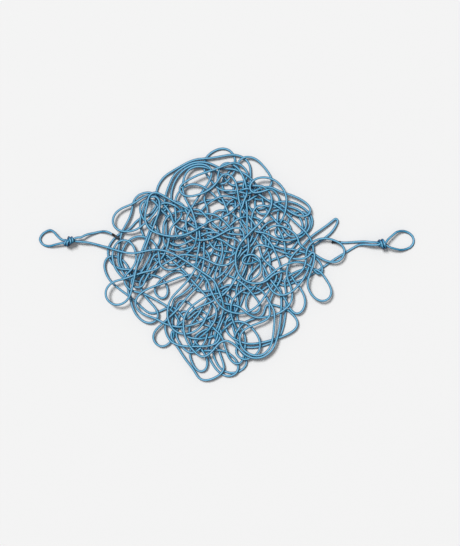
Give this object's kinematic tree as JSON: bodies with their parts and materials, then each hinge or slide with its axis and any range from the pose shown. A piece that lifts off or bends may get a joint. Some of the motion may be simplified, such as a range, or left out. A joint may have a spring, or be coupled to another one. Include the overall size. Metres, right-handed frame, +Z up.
{
  "type": "dynamic climbing rope",
  "caption": "Light blue kernmantle climbing rope flaked into a loose pile, with a small overhand loop tied near each end and a short tail that ends in a black sleeve.",
  "frame": {"origin": "on the ground, under the middle of the whole rope's box", "axes": "+X from the top end's knotted loop (the end on top of the pile) towards the bottom end's, +Y across, towards the top of the picture, +Z up"},
  "size_m": [1.7937, 1.0863, 0.0843],
  "materials": {
    "sheath": "braided nylon, light blue, matt with a faint sheen",
    "core": "twisted nylon, white",
    "sleeve": "heat-shrink sleeve, black, satin",
    "melted_end": "nylon melted by a hot cut, glossy"
  },
  "bodies": {
    "root": {"pile_inner_turns": "sheath", "pile_loops": "sheath", "bottom_end_lead": "sheath", "bottom_end_knotted_loop": "sheath", "bottom_end_tail_sheath": "sheath", "bottom_end_core_strand_1": "core", "bottom_end_core_strand_2": "core", "bottom_end_core_strand_3": "core", "bottom_end_core_strand_4": "core", "bottom_end_core_strand_5": "core", "bottom_end_core_strand_6": "core", "bottom_end_core_strand_7": "core", "bottom_end_core_strand_8": "core", "bottom_end_core_strand_9": "core", "bottom_end_core_strand_10": "core", "bottom_end_core_strand_11": "core", "bottom_end_core_strand_12": "core", "bottom_end_melted_end": "melted_end", "bottom_end_sleeve": "sleeve", "top_end_lead": "sheath", "top_end_knotted_loop": "sheath", "top_end_tail_sheath": "sheath", "top_end_core_strand_1": "core", "top_end_core_strand_2": "core", "top_end_core_strand_3": "core", "top_end_core_strand_4": "core", "top_end_core_strand_5": "core", "top_end_core_strand_6": "core", "top_end_core_strand_7": "core", "top_end_core_strand_8": "core", "top_end_core_strand_9": "core", "top_end_core_strand_10": "core", "top_end_core_strand_11": "core", "top_end_core_strand_12": "core", "top_end_melted_end": "melted_end", "top_end_sleeve": "sleeve"}
  },
  "joints": []
}
